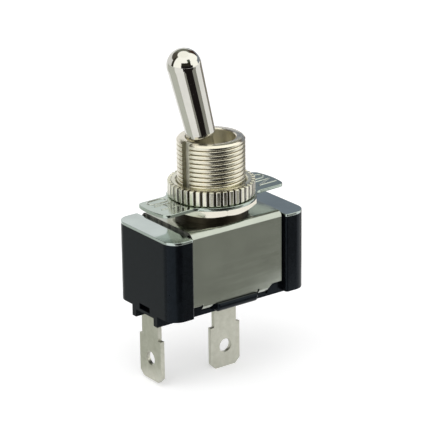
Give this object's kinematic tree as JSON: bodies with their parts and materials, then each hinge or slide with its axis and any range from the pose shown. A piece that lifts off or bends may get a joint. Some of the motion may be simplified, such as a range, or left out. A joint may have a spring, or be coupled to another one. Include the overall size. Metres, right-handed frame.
{
  "type": "panel toggle switch",
  "caption": "Panel toggle switch: bat lever in a threaded bushing on a black case, with strap frame, legend plate, nuts and flat push-on tabs.",
  "frame": {"origin": "the lever's pivot, on the axis of the threaded bushing", "axes": "+Z along the bushing towards the lever's tip, +X along the case, the lever leans to -X at rest (off)"},
  "size_m": [0.0292, 0.0168, 0.0597],
  "materials": {
    "moulding": "black thermoset moulding, satin",
    "insulator": "pressed insulating sheet",
    "cover_steel": "plated sheet steel",
    "strap_steel": "polished plated sheet steel",
    "nickel_plate": "bright nickel plate",
    "spring_steel": "hard steel",
    "plunger_brass": "turned brass",
    "contact_copper": "rolled copper alloy",
    "contact_silver": "silver contact rivet",
    "tinned_brass": "tin-plated brass",
    "plate_steel": "satin plated sheet with raised letters"
  },
  "bodies": {
    "base": {"case": "moulding", "insulator_sheet": "insulator", "top_plate": "cover_steel", "strap_frame": "strap_steel", "bushing": "nickel_plate", "rocker_saddle": "contact_copper", "centre_terminal": "tinned_brass", "end_terminal": "tinned_brass", "fixed_contact": "contact_silver", "hex_nut": "nickel_plate"},
    "lever": {"lever": "nickel_plate", "pivot_pin": "spring_steel", "plunger_spring": "spring_steel"},
    "plunger": {"plunger": "plunger_brass"},
    "rocker": {"rocker": "contact_copper", "moving_contact": "contact_silver"},
    "plate": {"on_off_plate": "plate_steel"},
    "face_nut": {"face_nut": "nickel_plate"}
  },
  "joints": [
    {"name": "lever_tilt", "type": "hinge", "parent": "base", "child": "lever", "pos_m": [0, 0, 0], "axis": [0, 1, 0], "range_deg": [0, 29]},
    {"name": "plunger_slide", "type": "slide", "parent": "lever", "child": "plunger", "axis": [-0.2504, 0, 0.9681], "range_m": [0, 0.001], "stiffness_N_per_m": 500, "springref_m": -0.001, "deforming": ["plunger_spring"]},
    {"name": "rocker_tilt", "type": "hinge", "parent": "base", "child": "rocker", "pos_m": [0, 0, -0.01315], "axis": [0, 1, 0], "range_deg": [-16, 0]},
    {"name": "plate_lift", "type": "slide", "parent": "base", "child": "plate", "axis": [0, 0, 1], "range_m": [0, 0.00655]},
    {"name": "face_nut_turn", "type": "hinge", "parent": "plate", "child": "face_nut", "pos_m": [0, 0, -0.00175], "axis": [0, 0, 1], "range_deg": [0, 2970]}
  ],
  "couplings": [
    {"joint": "rocker_tilt", "follows": "lever_tilt", "ratio": -0.55172},
    {"joint": "face_nut_turn", "follows": "plate_lift", "rad_per_m": 7913.3}
  ]
}
